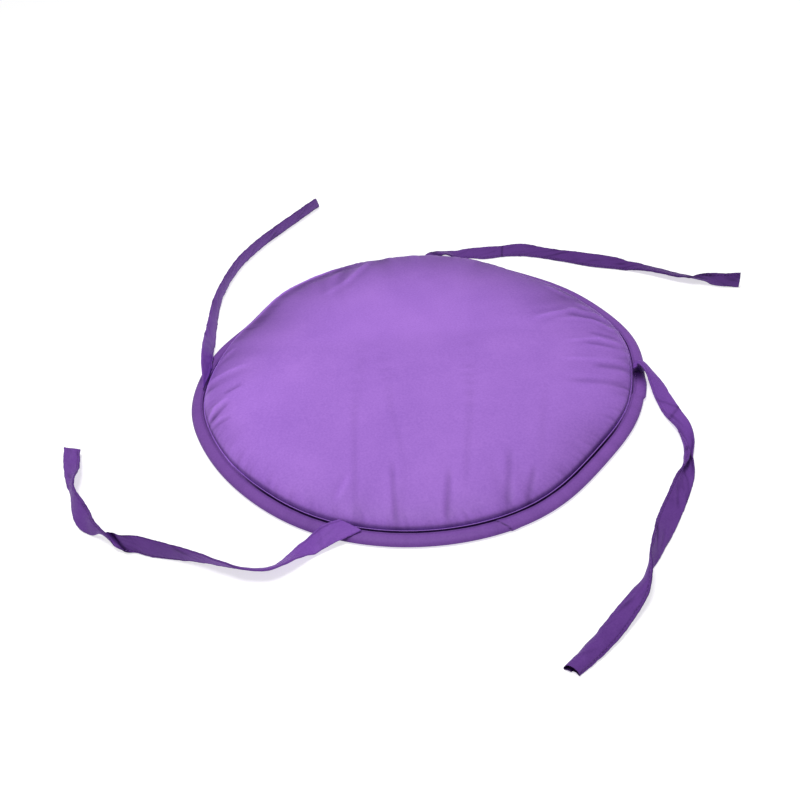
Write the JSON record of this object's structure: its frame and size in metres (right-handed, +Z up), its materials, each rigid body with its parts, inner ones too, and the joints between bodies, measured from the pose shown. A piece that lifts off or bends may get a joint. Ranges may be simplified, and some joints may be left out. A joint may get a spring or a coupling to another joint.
{
  "type": "round seat cushion",
  "caption": "Round padded seat cushion with a gathered top panel, a bound edge and long ribbon ties lying loose around it.",
  "frame": {"origin": "middle of the pad's flat underside", "axes": "+Z up out of the crowned top, +Y to the back, away from the viewer of the picture, +X to the right"},
  "size_m": [0.6027, 0.6254, 0.0245],
  "materials": {
    "panel_cloth": "smooth fine weave with a soft satin sheen",
    "binding_cloth": "the same cloth cut on the bias, a deeper tone",
    "tie_cloth": "the same cloth folded and stitched into a flat ribbon"
  },
  "bodies": {
    "root": {"pad": "panel_cloth", "binding": "binding_cloth", "tie_left": "tie_cloth", "tie_back": "tie_cloth", "tie_right": "tie_cloth", "tie_front": "tie_cloth"}
  },
  "joints": []
}
